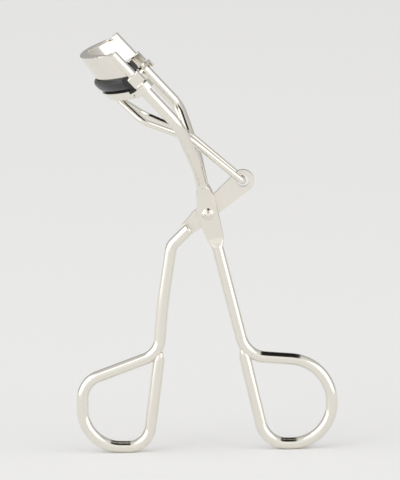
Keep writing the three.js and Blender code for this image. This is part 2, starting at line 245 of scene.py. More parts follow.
def select_where(piece: bpy.types.Object, test: Callable[[Vector], bool]) -> None:
    """Selects the vertices, and what lies between them, whose place passes a test, in edit mode."""
    bpy.ops.mesh.select_all(action="DESELECT")
    shape = bmesh.from_edit_mesh(piece.data)
    for vertex in shape.verts:
        vertex.select_set(test(vertex.co))
    shape.select_flush(True)
    bmesh.update_edit_mesh(piece.data)


def close_and_face_out(piece: bpy.types.Object) -> None:
    """Merges doubles, closes open ends and points the faces outwards."""
    take(piece)
    bpy.ops.object.mode_set(mode="EDIT")
    bpy.ops.mesh.select_mode(type="VERT")
    bpy.ops.mesh.select_all(action="SELECT")
    bpy.ops.mesh.remove_doubles(threshold=1e-4)
    bpy.ops.mesh.select_all(action="DESELECT")
    bpy.ops.mesh.select_non_manifold(extend=False)
    bpy.ops.mesh.fill_holes(sides=0)
    bpy.ops.mesh.select_all(action="SELECT")
    bpy.ops.mesh.normals_make_consistent(inside=False)
    bpy.ops.object.mode_set(mode="OBJECT")


def apply_modifier(piece: bpy.types.Object, kind: str, **settings: object) -> None:
    """Adds a modifier with its settings and applies it."""
    take(piece)
    modifier = piece.modifiers.new(kind.title(), kind)
    for name, value in settings.items():
        setattr(modifier, name, value)
    bpy.ops.object.modifier_apply(modifier=modifier.name)


def round_edges(piece: bpy.types.Object, width: float, segments: int = 3, angle: float = 35) -> None:
    """Rounds the edges sharper than an angle in degrees."""
    apply_modifier(
        piece,
        "BEVEL",
        width=width,
        segments=segments,
        limit_method="ANGLE",
        angle_limit=math.radians(angle),
        use_clamp_overlap=True,
    )


def combine(piece: bpy.types.Object, tool: bpy.types.Object, operation: str) -> None:
    """Joins or cuts a piece with a tool, and throws the tool away."""
    apply_modifier(piece, "BOOLEAN", object=tool, operation=operation, solver="EXACT")
    bpy.data.objects.remove(tool)


def arc(centre: tuple[float, float], radius: float, start: float, stop: float, steps: int) -> list[Vector]:
    """Returns points on an arc, from one angle to another in degrees."""
    points = []
    for step in range(steps + 1):
        angle = math.radians(start + (stop - start) * step / steps)
        points.append(Vector((centre[0] + radius * math.cos(angle), centre[1] + radius * math.sin(angle), 0)))
    return points


def slot_outline(first: tuple[float, float], last: tuple[float, float], radius: float) -> list[Vector]:
    """Returns the outline of two round ends and the straight sides between them."""
    turn = math.degrees(math.atan2(last[1] - first[1], last[0] - first[0])) + 90
    return arc(first, radius, turn, turn + 180, 14) + arc(last, radius, turn + 180, turn + 360, 14)


def prism(name: str, outline: Sequence[Vector], thickness: float, level: float = 0.0) -> bpy.types.Object:
    """Cuts a plate to an outline and gives it its thickness.

    Args:
        name: the new piece's name.
        outline: the outline's points, in the drawing plane.
        thickness: how far it is extruded, along the plane's third axis.
        level: where its first face lies on that axis.

    Returns:
        The plate.
    """
    clear_bench()
    bpy.ops.mesh.primitive_circle_add(vertices=len(outline), radius=1, fill_type="NGON")
    piece = bpy.context.object
    piece.name = name
    for vertex, point in zip(piece.data.vertices, outline):
        vertex.co = Vector((point.x, point.y, level))
    bpy.ops.object.mode_set(mode="EDIT")
    bpy.ops.mesh.select_all(action="SELECT")
    bpy.ops.mesh.extrude_region_move(TRANSFORM_OT_translate={"value": (0, 0, thickness)})
    bpy.ops.object.mode_set(mode="OBJECT")
    close_and_face_out(piece)
    return piece


def pin(radius: float, centre: tuple[float, float], low: float, high: float) -> bpy.types.Object:
    """Returns a round tool across the drawing plane, for cutting a hole."""
    clear_bench()
    bpy.ops.mesh.primitive_cylinder_add(
        vertices=48, radius=radius, depth=high - low, location=(centre[0], centre[1], (low + high) / 2)
    )
    bpy.ops.object.transform_apply(location=True, rotation=True, scale=True)
    return bpy.context.object


def spun_band(
    name: str,
    profile: Sequence[tuple[float, float]],
    centre: float,
    radius: float,
    half_angle: float,
    steps: int,
) -> bpy.types.Object:
    """Spins a closed profile round an arc that is symmetrical about the second axis.

    Args:
        name: the new piece's name.
        profile: points (outwards from the radius, height).
        centre: place of the arc's centre on the second axis.
        radius: the arc's radius, to the profile's own origin.
        half_angle: half of the arc, in degrees.
        steps: how many times the profile is copied round the arc.

    Returns:
        The closed band.
    """
    clear_bench()
    bpy.ops.mesh.primitive_circle_add(vertices=len(profile), radius=1, fill_type="NOTHING")
    piece = bpy.context.object
    piece.name = name
    start = math.radians(90 - half_angle)
    for vertex, (outward, height) in zip(piece.data.vertices, profile):
        reach = radius + outward
        vertex.co = Vector((reach * math.cos(start), centre + reach * math.sin(start), height))
    bpy.ops.object.mode_set(mode="EDIT")
    bpy.ops.mesh.select_all(action="SELECT")
    bpy.ops.mesh.spin(
        steps=steps, angle=-math.radians(2 * half_angle), center=(0, centre, 0), axis=(0, 0, 1)
    )
    bpy.ops.object.mode_set(mode="OBJECT")
    close_and_face_out(piece)
    return piece


def slope(piece: bpy.types.Object, rise: float, base: float) -> None:
    """Raises a band drawn level by the slope of the jaws' rims."""
    for vertex in piece.data.vertices:
        vertex.co.z += base + rise * vertex.co.y
    piece.data.update()


@dataclass(frozen=True)
class Corner:
    """A corner of a wire and the radius that it is bent to."""

    at: Vector
    bend: float = 0.0


@dataclass(frozen=True)
class Pressed:
    """A ring of wire that is pressed flat on the two faces across Y."""

    centre: Vector
    heading: Vector
    half_depth: float


class WireRun:
    """A length of round wire: straight pulls, bends about a mandrel, and stretches pressed in a die."""

    def __init__(self, name: str, start: Vector, towards: Vector, diameter: float, sides: int = 32) -> None:
        """Starts the wire as one ring that faces along its first run."""
        self.place = start.copy()
        self.heading = (towards - start).normalized()
        self.width = self.depth = diameter
        self.pressed: list[Pressed] = []
        clear_bench()
        bpy.ops.mesh.primitive_circle_add(
            vertices=sides,
            radius=diameter / 2,
            fill_type="NOTHING",
            location=start,
            rotation=self.heading.to_track_quat("Z", "Y").to_euler(),
        )
        self.piece = bpy.context.object
        self.piece.name = name
        bpy.ops.object.transform_apply(location=True, rotation=True, scale=True)
        bpy.ops.object.mode_set(mode="EDIT")
        bpy.ops.mesh.select_mode(type="VERT")
        bpy.ops.mesh.select_all(action="SELECT")

    def pull_to(self, point: Vector) -> None:
        """Draws the last ring straight on to a point."""
        bpy.ops.mesh.extrude_region_move(TRANSFORM_OT_translate={"value": point - self.place})
        self.place = point.copy()

    def form(self, width: float, depth: float, half_depth: float = 0.0) -> None:
        """Gives the last ring a new width and depth, and notes how flat it is pressed.

        Args:
            width: across the wire in the plane of the handles.
            depth: across the wire along Y, before it is pressed.
            half_depth: half the depth between the pressed faces, or 0 where none are.
        """
        wide = width / self.width
        bpy.ops.transform.resize(value=(wide, depth / self.depth, wide), center_override=self.place)
        self.width, self.depth = width, depth
        if half_depth:
            self.pressed.append(Pressed(self.place.copy(), self.heading.copy(), half_depth))

    def bend(self, corner: Corner, ahead: Vector, degrees_per_ring: float = 5.0) -> None:
        """Draws the wire up to a corner and round it.

        Args:
            corner: the corner and its bend.
            ahead: the point that the wire makes for afterwards.
            degrees_per_ring: how fine the bend is.
        """
        onward = (ahead - corner.at).normalized()
        turn = self.heading.angle(onward)
        tangent = corner.bend * math.tan(turn / 2)
        self.pull_to(corner.at - self.heading * tangent)
        axis = self.heading.cross(onward).normalized()
        centre = self.place + axis.cross(self.heading) * corner.bend
        steps = max(2, math.ceil(math.degrees(turn) / degrees_per_ring))
        bpy.ops.mesh.spin(steps=steps, angle=-turn, center=centre, axis=axis)
        self.place = corner.at + onward * tangent
        self.heading = onward

    def follow(self, corners: Sequence[Corner]) -> None:
        """Bends the wire round each corner but the last and pulls it to that one."""
        for corner, after in zip(corners, corners[1:]):
            self.bend(corner, after.at)
        self.pull_to(corners[-1].at)

    def loop_back(self, corners: Sequence[Corner]) -> None:
        """Bends a finger loop and narrows its end where it is brazed to the first bend."""
        *most, tip = corners
        for corner, after in zip(most, corners[1:]):
            self.bend(corner, after.at)
        self.pull_to(self.place.lerp(tip.at, 0.9))
        self.taper(tip.at, 0.6)

    def taper(self, point: Vector, share: float) -> None:
        """Draws the wire on to a point while it narrows to a share of its diameter."""
        self.pull_to(point)
        self.form(self.width * share, self.depth * share)

    def finish(self) -> bpy.types.Object:
        """Presses the flats, closes the ends and returns the piece."""
        for ring in self.pressed:
            for face in (-1, 1):
                select_where(self.piece, lambda co: self._beyond(co, ring, face))
                plane = ring.centre.y + face * ring.half_depth
                bpy.ops.transform.resize(value=(1, 0, 1), center_override=(0, plane, 0))
        bpy.ops.object.mode_set(mode="OBJECT")
        close_and_face_out(self.piece)
        return self.piece

    @staticmethod
    def _beyond(co: Vector, ring: Pressed, face: int) -> bool:
        """Tells whether a point belongs to a ring and lies outside one of its pressed faces."""
        offset = co - ring.centre
        in_ring = abs(offset.dot(ring.heading)) < 0.02 and offset.length < 6
        return in_ring and face * offset.y > ring.half_depth


def place(piece: bpy.types.Object, matrix: Matrix, replaced: str, body: Body) -> bpy.types.Object:
    """Sets a finished piece into the curler in place of its plain solid.

    Args:
        piece: the piece, drawn in millimetres.
        matrix: the plane that it was drawn in.
        replaced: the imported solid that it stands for.
        body: the body that it rides on.

    Returns:
        The piece, in metres, in its place.
    """
    clear_bench()
    piece.data.transform(matrix)
    take(piece)
    bpy.ops.object.shade_smooth_by_angle(angle=SMOOTH)
    apply_modifier(piece, "WEIGHTED_NORMAL", keep_sharp=True, weight=80)
    piece.name = f"{replaced}_fine"
    piece.data.name = piece.name
    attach(piece, body.value)
    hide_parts(replaced)
    log.info("%s: %d faces", piece.name, len(piece.data.polygons))
    return piece


# ---- finishes ----


def give_finish(piece: bpy.types.Object, material: bpy.types.Material) -> None:
    """Gives a piece its one finish."""
    piece.data.materials.clear()
    piece.data.materials.append(material)


def wear_group() -> bpy.types.ShaderNodeTree:
    """Builds the marks of handling on plated metal: smudges, fine scratches and an uneven polish."""
    group = bpy.data.node_groups.new("plate_wear", "ShaderNodeTree")
    sockets = group.interface
    for name, value in (("Smudge", 0.5), ("Scratch", 0.5), ("Polish", 0.12)):
        socket = sockets.new_socket(name=name, in_out="INPUT", socket_type="NodeSocketFloat")
        socket.default_value = value
    for name in ("Roughness", "Tone", "Height"):
        sockets.new_socket(name=name, in_out="OUTPUT", socket_type="NodeSocketFloat")
    nodes, links = group.nodes, group.links
    given = nodes.new("NodeGroupInput")
    result = nodes.new("NodeGroupOutput")
    place_on = nodes.new("ShaderNodeTexCoord")

    def noise(scale: float, detail: float, stretch: Sequence[float] = (1, 1, 1)) -> bpy.types.NodeSocket:
        """Returns the value of a noise at a scale per metre, stretched along the axes."""
        mapping = nodes.new("ShaderNodeMapping")
        mapping.inputs["Scale"].default_value = stretch
        texture = nodes.new("ShaderNodeTexNoise")
        texture.inputs["Scale"].default_value = scale
        texture.inputs["Detail"].default_value = detail
        links.new(place_on.outputs["Object"], mapping.inputs["Vector"])
        links.new(mapping.outputs["Vector"], texture.inputs["Vector"])
        return texture.outputs["Fac"]

    def maths(operation: str, *values: object) -> bpy.types.NodeSocket:
        """Returns the result of a sum on sockets and numbers."""
        node = nodes.new("ShaderNodeMath")
        node.operation = operation
        for socket, value in zip(node.inputs, values):
            if isinstance(value, (int, float)):
                socket.default_value = value
            else:
                links.new(value, socket)
        return node.outputs["Value"]

    smudges = maths("SUBTRACT", noise(90, 3), 0.5)
    scratches = maths("SUBTRACT", noise(2600, 2, (1, 1, 0.06)), 0.5)
    smudged = maths("MULTIPLY", maths("MULTIPLY", smudges, given.outputs["Smudge"]), 0.12)
    scratched = maths("MULTIPLY", maths("MULTIPLY", scratches, given.outputs["Scratch"]), 0.05)
    rough = maths("ADD", maths("ADD", given.outputs["Polish"], smudged), scratched)
    tone = maths("ADD", maths("MULTIPLY", smudged, 0.9), 0.5)
    links.new(rough, result.inputs["Roughness"])
    links.new(tone, result.inputs["Tone"])
    links.new(scratched, result.inputs["Height"])
    return group


@dataclass(frozen=True)
class Marks:
    """How strongly a finish shows the marks of handling, and its polish and relief."""

    smudge: float
    scratch: float
    polish: float
    bump: float


def worn_finish(
    name: str, wear: bpy.types.ShaderNodeTree, low: Sequence[float], high: Sequence[float], marks: Marks
) -> bpy.types.Material:
    """Returns a finish that runs between two tints by its marks of wear."""
    material = bpy.data.materials.new(name)
    material.use_nodes = True
    nodes, links = material.node_tree.nodes, material.node_tree.links
    shader = nodes["Principled BSDF"]
    group = nodes.new("ShaderNodeGroup")
    group.node_tree = wear
    group.inputs["Smudge"].default_value = marks.smudge
    group.inputs["Scratch"].default_value = marks.scratch
    group.inputs["Polish"].default_value = marks.polish
    tint = nodes.new("ShaderNodeMix")
    tint.data_type = "RGBA"
    tint.inputs["A"].default_value = (*low, 1)
    tint.inputs["B"].default_value = (*high, 1)
    relief = nodes.new("ShaderNodeBump")
    relief.inputs["Strength"].default_value = marks.bump
    relief.inputs["Distance"].default_value = 0.0002
    links.new(group.outputs["Tone"], tint.inputs["Factor"])
    links.new(tint.outputs["Result"], shader.inputs["Base Color"])
    links.new(group.outputs["Roughness"], shader.inputs["Roughness"])
    links.new(group.outputs["Height"], relief.inputs["Height"])
    links.new(relief.outputs["Normal"], shader.inputs["Normal"])
    return material


@dataclass(frozen=True)
class NickelPlate:
    """Bright nickel plate: its tints where it is clean and where it is dull, and its polish."""

    name: str
    bright: tuple[float, float, float] = (0.86, 0.83, 0.765)
    dull: tuple[float, float, float] = (0.78, 0.745, 0.67)
    polish: float = 0.13
    smudge: float = 0.5
    scratch: float = 0.5
    bump: float = 0.03

    def material(self, wear: bpy.types.ShaderNodeTree) -> bpy.types.Material:
        """Returns the finish as a node material."""
        marks = Marks(self.smudge, self.scratch, self.polish, self.bump)
        material = worn_finish(self.name, wear, self.dull, self.bright, marks)
        material.node_tree.nodes["Principled BSDF"].inputs["Metallic"].default_value = 1.0
        return material


@dataclass(frozen=True)
class PadRubber:
    """Moulded black rubber with a soft bloom."""

    name: str = "pad_rubber"
    black: tuple[float, float, float] = (0.012, 0.012, 0.013)
    bloom: tuple[float, float, float] = (0.035, 0.035, 0.036)
    roughness: float = 0.34
    bump: float = 0.15

    def material(self, wear: bpy.types.ShaderNodeTree) -> bpy.types.Material:
        """Returns the finish as a node material."""
        marks = Marks(1.0, 1.0, self.roughness, self.bump)
        material = worn_finish(self.name, wear, self.black, self.bloom, marks)
        material.node_tree.nodes["Principled BSDF"].inputs["Specular IOR Level"].default_value = 0.55
        return material


# ---- the frame: guide rods, blades, finger loop, upper jaw and rivet ----


@dataclass
class FrameAssembly:
    """The rigid half: two guide rods, the frame's finger loop, the fixed jaw and the rivet."""

    planes: Planes
    rod_bend: float = 22.5  # along the rods, where they turn in
    turn_in: tuple[float, float, float] = (-2.75, 5.7, 12.6)
    blade_shoulder: tuple[float, float] = (-1.55, 7.6)
    blade_top: tuple[float, float] = (-1.25, 6.2)
    flat_width: float = 3.5  # of the rod's end, pressed flat below the shoulder
    flat_depth: float = 2.3
    before_press: float = 7.0  # depth that a ring is spread to before the press, which keeps its edges crisp
    upper_height: float = 6.9
    upper_rim: float = 2.0
    rim_fade: float = 0.45  # radians over which the rim narrows to nothing at each end
    upper_lean: float = 0.085  # how much the sheet draws in at its top
    curl: float = 165.0  # degrees
    rivet_head: float = 2.9
    rivet_dome: float = 0.65
    # The pressed blade from top to bottom: height, middle and width.
    blade: tuple[tuple[float, float, float], ...] = (
        (6.3, -1.22, 3.1),
        (5.8, -1.1, 3.5),
        (5.0, -0.95, 3.95),
        (4.2, -0.79, 4.25),
        (3.4, -0.62, 4.5),
        (1.2, -0.27, 5.05),
        (-0.8, 0.26, 5.1),
        (-3.4, 0.98, 4.75),
        (-5.2, 1.54, 4.5),
        (-6.1, 1.82, 4.15),
        (-6.9, 2.06, 3.7),
        (-7.6, 2.22, 3.25),
    )
    loop: tuple[tuple[float, float, float], ...] = (
        (9.3, -35.3, 6.4),
        (30.35, -36.7, 10.7),
        (30.35, -57.1, 9.9),
        (14.2, -57.1, 6.4),
        (8.6, -33.6, 0.0),
    )

    def _rod_to_blade(self, name: str, side: int) -> WireRun:
        """Draws one guide rod from its tenon to the top of its blade."""
        c = self.planes.sizes
        y = side * c.half_span
        at = self.planes.head_to_side
        top = at(y, 0, c.shoulder + c.tenon_length)
        shoulder = at(y, 0, c.shoulder)
        run = WireRun(name, top, shoulder, c.tenon)
        run.pull_to(shoulder)
        shift = c.handle_wire / 2 - self.flat_width / 2
        flat_top = at(y, shift, c.shoulder)
        run.pull_to(flat_top)
        half = self.flat_depth / 2
        run.form(self.flat_width - 0.25, self.before_press, half - 0.12)
        run.pull_to(at(y, shift, c.shoulder - 0.15))
        run.form(self.flat_width, self.before_press, half)
        foot = c.ear_top + c.running_gap
        run.pull_to(at(y, shift, foot + 0.2))
        run.form(self.flat_width, self.before_press, half)
        run.pull_to(at(y, 0, foot))
        run.form(c.handle_wire, c.handle_wire)
        blade_y = side * c.blade_middle
        turn_in = Vector((self.turn_in[0], side * self.turn_in[1], self.turn_in[2]))
        shoulder = Vector((self.blade_shoulder[0], blade_y, self.blade_shoulder[1]))
        run.bend(Corner(at(y, 0, self.rod_bend), 7), turn_in)
        run.bend(Corner(turn_in, 14), shoulder)
        run.bend(Corner(shoulder, 3), Vector((self.blade_top[0], blade_y, self.blade_top[1])))
        return run

    def _press_blade(self, run: WireRun, side: int, lowest: float) -> None:
        """Draws the wire on through its blade, down to a height below the rivet."""
        c = self.planes.sizes
        half = c.blade_thickness / 2
        y = side * c.blade_middle
        for index, (z, x, width) in enumerate(self.blade):
            if z < lowest:
                break
            run.pull_to(Vector((x, y, z)))
            from_end = min(index, len(self.blade) - 1 - index)
            spread, extra = ((3.2, 0.5), (3.8, 0.2))[from_end] if from_end < 2 else (5.0, 0.0)
            run.form(width, spread, half + extra)

    def handle(self) -> bpy.types.Object:
        """Makes the near guide rod, its blade and the finger loop from one wire."""
        c = self.planes.sizes
        run = self._rod_to_blade("frame_handle", -1)
        self._press_blade(run, -1, -math.inf)
        y = -c.blade_middle
        run.pull_to(Vector((2.35, y, -8.2)))
        run.form(c.handle_wire, c.handle_wire)
        corners = [Corner(Vector((x, y, z)), bend) for x, z, bend in self.loop]
        run.heading = (corners[0].at - run.place).normalized()
        run.loop_back(corners)
        piece = run.finish()
        combine(piece, self._rivet_tool(), "DIFFERENCE")
        return piece

    def far_rod(self) -> bpy.types.Object:
        """Makes the far guide rod, which ends in the back blade."""
        run = self._rod_to_blade("far_guide_rod", 1)
        self._press_blade(run, 1, -2.0)
        y = self.planes.sizes.blade_middle
        for z, x, width in ((-2.2, 0.55, 3.9), (-3.0, 0.75, 2.6)):
            run.pull_to(Vector((x, y, z)))
            run.form(width, 1.7, self.planes.sizes.blade_thickness / 2)
        piece = run.finish()
        combine(piece, self._rivet_tool(), "DIFFERENCE")
        return piece

    def _rivet_tool(self) -> bpy.types.Object:
        """Returns the round tool that pierces the blades for the rivet."""
        c = self.planes.sizes
        tool = pin(c.rivet_shank / 2 + c.fit_gap, (0, 0), -2 * c.blade_outer, 2 * c.blade_outer)
        tool.data.transform(Matrix.Rotation(math.pi / 2, 4, "X"))
        return tool

    def rivet(self) -> bpy.types.Object:
        """Turns the rivet: a domed front head with a sunk ring and a button, a shank and a back head."""
        c = self.planes.sizes
        head = self.rivet_head / 2
        seat = c.blade_outer + 0.05
        front = -seat - self.rivet_dome
        rings = (
            (0.12, front + 0.17),
            (0.3, front + 0.05),
            (0.5, front + 0.04),
            (0.62, front + 0.16),
            (0.72, front + 0.22),
            (0.82, front + 0.12),
            (0.98, front + 0.14),
            (1.2, front + 0.28),
            (head - 0.04, front + 0.48),
            (head, -seat - 0.08),
            (head - 0.03, -seat),
            (c.rivet_shank / 2, -seat),
            (c.rivet_shank / 2, seat),
            (head - 0.03, seat),
            (head, seat + 0.08),
            (head * 0.85, seat + 0.34),
            (head * 0.4, seat + 0.5),
        )
        radius, y = rings[0]
        run = WireRun("pivot_rivet", Vector((0, y, 0)), Vector((0, seat, 0)), 2 * radius, 48)
        for radius, y in rings[1:]:
            run.pull_to(Vector((0, y, 0)))
            run.form(2 * radius, 2 * radius)
        return run.finish()

    def upper_jaw(self) -> bpy.types.Object:
        """Rolls the fixed jaw: one strip curled round both tenons, its top edge turned in."""
        c = self.planes.sizes
        towards = math.degrees(math.atan2(-c.arc_drop, c.half_span))
        start = math.radians(towards - self.curl)
        corner = Vector((-c.half_span, 0, 0)) + c.curl_middle * Vector((math.cos(start), math.sin(start), 0))
        foot = c.shoulder + c.fit_gap
        clear_bench()
        bpy.ops.mesh.primitive_plane_add(size=1)
        piece = bpy.context.object
        piece.name = "upper_jaw"
        bpy.ops.object.mode_set(mode="EDIT")
        bpy.ops.mesh.select_mode(type="VERT")
        select_where(piece, lambda co: co.x > 0)
        bpy.ops.mesh.delete(type="VERT")
        shape = bmesh.from_edit_mesh(piece.data)
        for vertex in shape.verts:
            high = vertex.co.y > 0
            vertex.co = corner + Vector((0, 0, foot + (self.upper_height if high else 0)))
        bmesh.update_edit_mesh(piece.data)
        bpy.ops.mesh.select_all(action="SELECT")
        span = 180 + 2 * towards
        for centre, turn, steps in (
            ((-c.half_span, 0, 0), self.curl, 20),
            ((0, -c.arc_drop, 0), -span, 44),
            ((c.half_span, 0, 0), self.curl, 20),
        ):
            bpy.ops.mesh.spin(steps=steps, angle=-math.radians(turn), center=centre, axis=(0, 0, 1))
        bpy.ops.mesh.select_all(action="SELECT")
        bpy.ops.mesh.remove_doubles(threshold=1e-4)
        self._turn_rim_in(piece, foot + self.upper_height)
        bpy.ops.mesh.select_all(action="SELECT")
        bpy.ops.mesh.normals_make_consistent(inside=False)
        bpy.ops.object.mode_set(mode="OBJECT")
        self._lean_in(piece, foot)
        apply_modifier(piece, "SOLIDIFY", thickness=c.sheet, offset=0.0)
        round_edges(piece, 0.1, 2, 60)
        return piece

    def _turn_rim_in(self, piece: bpy.types.Object, top: float) -> None:
        """Turns the top edge of the strip in, over a rounded fold."""
        c = self.planes.sizes
        ends = c.half_span - c.curl_middle - 0.3
        select_where(piece, lambda co: co.z > top - 0.01 and abs(co.x) < ends and co.y > 0.4)
        centre = (0, -c.arc_drop, top)
        radius = c.jaw_radius
        reached = radius
        bpy.ops.transform.translate(value=(0, 0, -c.sheet / 2 - 0.1))
        for inward, lift in ((0.1, 0.07), (0.3, 0.03), (self.upper_rim - c.sheet / 2, 0.0)):
            bpy.ops.mesh.extrude_region_move(TRANSFORM_OT_translate={"value": (0, 0, lift)})
            share = (radius - inward) / reached
            bpy.ops.transform.resize(value=(share, share, 1), center_override=centre)
            reached = radius - inward
        widest = math.asin(ends / radius)
        shape = bmesh.from_edit_mesh(piece.data)
        for vertex in shape.verts:
            out = Vector((vertex.co.x, vertex.co.y + c.arc_drop, 0))
            inward = radius - out.length
            if vertex.co.z > top - c.sheet and vertex.co.y > 0.2 and 0.05 < inward < self.upper_rim:
                left = (widest - abs(math.atan2(out.x, out.y))) / self.rim_fade
                fade = 0.12 + 0.88 * math.sin(math.pi / 2 * min(1.0, max(0.0, left))) ** 2
                kept = out.normalized() * (radius - inward * fade)
                vertex.co.x, vertex.co.y = kept.x, kept.y - c.arc_drop
        bmesh.update_edit_mesh(piece.data)

    def _lean_in(self, piece: bpy.types.Object, foot: float) -> None:
        """Slopes both rims of the strip with the jaws and draws its top in towards the eye."""
        c = self.planes.sizes
        for vertex in piece.data.vertices:
            towards_apex = max(0.0, vertex.co.y)
            share = (vertex.co.z - foot) / self.upper_height
            vertex.co.z += c.rise * towards_apex
            vertex.co.y -= self.upper_lean * share * towards_apex
        piece.data.update()

    def build(self) -> list[bpy.types.Object]:
        """Makes and places the frame's pieces."""
        side, head = self.planes.side(), self.planes.head()
        return [
            place(self.handle(), side, "frame_handle", Body.FRAME),
            place(self.far_rod(), side, "far_guide_rod", Body.FRAME),
            place(self.upper_jaw(), head, "upper_jaw", Body.FRAME),
            place(self.rivet(), side, "pivot_rivet", Body.FRAME),
        ]

    def dress(self, made: list[bpy.types.Object], wear: bpy.types.ShaderNodeTree) -> None:
        """Gives the frame's pieces their finishes."""
        wire = NickelPlate("wire_nickel").material(wear)
        sheet = NickelPlate("sheet_nickel", polish=0.12, smudge=0.35).material(wear)
        rivet = NickelPlate("rivet_nickel", polish=0.1).material(wear)
        for piece, material in zip(made, (wire, wire, sheet, rivet)):
            give_finish(piece, material)


# ---- the lever ----


@dataclass
class LeverAssembly:
    """The moving half of the handles: a stamped plate and a bent wire brazed to it."""

    planes: Planes
    end_radius: float = 2.75
    tail_radius: float = 1.7
    yoke_hole: float = 2.9
    loop: tuple[tuple[float, float, float], ...] = (
        (-8.95, -7.9, 3.4),
        (-10.95, -21.6, 90.0),
        (-12.05, -34.7, 5.6),
        (-30.65, -41.85, 5.8),
        (-30.65, -57.9, 9.3),
        (-14.7, -57.9, 5.3),
        (-11.75, -34.4, 0.0),
    )

    def arm(self) -> bpy.types.Object:
        """Stamps the plate, pierces it for the rivet and the yoke, and breaks its edges."""
        c = self.planes.sizes
        lean = math.radians(c.guide_lean)
        hole = (c.crank * math.cos(lean), c.crank * math.sin(lean))
        along = c.guide_lean - 4
        sides = [Vector((x, z, 0)) for x, z in ((1.45, 4.75), (-2.7, 1.0), (-3.9, 0), (-5.8, -2.4))]
        outline = [
            *arc(hole, self.end_radius, along - 105, along + 100, 24),
            *sides,
            *arc((-4.75, -3.7), self.tail_radius, 128, 290, 14),
            Vector((-1.2, -3.4, 0)),
            Vector((2.75, 0.1, 0)),
        ]
        piece = prism("lever_arm", outline, c.lever_thickness, -c.lever_thickness / 2)
        for radius, centre in ((c.rivet_shank / 2 + c.fit_gap, (0, 0)), (self.yoke_hole / 2, hole)):
            combine(piece, pin(radius, centre, -c.lever_thickness, c.lever_thickness), "DIFFERENCE")
        round_edges(piece, 0.16, 3)
        piece.data.transform(Matrix.Rotation(math.pi / 2, 4, "X"))
        return piece

    def handle(self) -> bpy.types.Object:
        """Bends the lever's wire from its brazed end to its finger loop."""
        c = self.planes.sizes
        y = -(c.lever_thickness / 2 + 0.05 + c.handle_wire / 2)
        corners = [Corner(Vector((x, y, z)), bend) for x, z, bend in self.loop]
        start = Vector((-4.55, y, -3.5))
        run = WireRun("lever_handle", start, corners[0].at, c.handle_wire * 0.84)
        run.pull_to(start.lerp(corners[0].at, 0.05))
        run.form(c.handle_wire, c.handle_wire)
        run.loop_back(corners)
        return run.finish()

    def build(self) -> list[bpy.types.Object]:
        """Makes and places the lever's pieces."""
        side = self.planes.side()
        return [
            place(self.arm(), side, "lever_arm", Body.LEVER),
            place(self.handle(), side, "lever_handle", Body.LEVER),
        ]

    def dress(self, made: list[bpy.types.Object], wear: bpy.types.ShaderNodeTree) -> None:
        """Gives the lever's pieces their finishes."""
        plate = NickelPlate("plate_nickel", polish=0.3, smudge=0.3).material(wear)
        wire = NickelPlate("lever_wire_nickel").material(wear)
        for piece, material in zip(made, (plate, wire)):
            give_finish(piece, material)


# ---- the lower jaw ----


